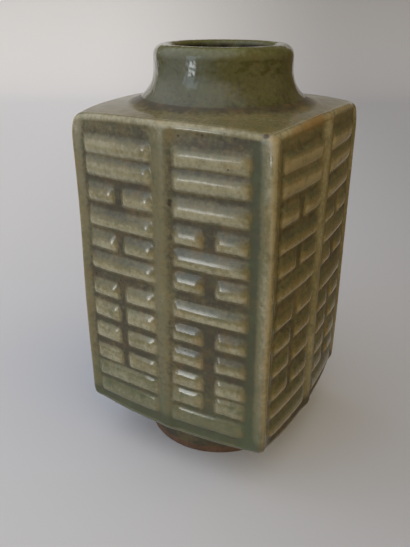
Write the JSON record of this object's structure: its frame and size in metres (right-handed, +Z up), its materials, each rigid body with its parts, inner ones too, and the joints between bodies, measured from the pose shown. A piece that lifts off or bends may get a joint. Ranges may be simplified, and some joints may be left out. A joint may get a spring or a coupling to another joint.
{
  "type": "cong vase",
  "caption": "Square celadon vase in the form of a jade cong, with round neck and foot and moulded trigram panels on each wall, for standing flowers in or for display.",
  "frame": {"origin": "centre of the standing ring, on the surface that the vase stands on", "axes": "+Z up through the middle of the neck, front wall facing -Y, +X towards the right-hand wall"},
  "size_m": [0.1396, 0.1396, 0.2607],
  "materials": {
    "wall_glaze": "glossy olive celadon, paler on raised edges and pooled darker in the grooves",
    "shoulder_glaze": "glossy grey-green celadon with an olive pool round the neck",
    "neck_glaze": "glossy dark olive celadon",
    "base_glaze": "glossy olive celadon",
    "foot_clay": "olive glaze wiped off the standing edge, bare red-brown fired clay below",
    "coil_clay": "fired clay under thin interior glaze"
  },
  "bodies": {
    "root": {"front_wall": "wall_glaze", "right_wall": "wall_glaze", "back_wall": "wall_glaze", "left_wall": "wall_glaze", "shoulder_slab": "shoulder_glaze", "neck": "neck_glaze", "base_slab": "base_glaze", "foot_ring": "foot_clay", "corner_coil_front_right": "coil_clay", "corner_coil_back_right": "coil_clay", "corner_coil_back_left": "coil_clay", "corner_coil_front_left": "coil_clay", "floor_coil_front": "coil_clay", "floor_coil_right": "coil_clay", "floor_coil_back": "coil_clay", "floor_coil_left": "coil_clay"}
  },
  "joints": []
}
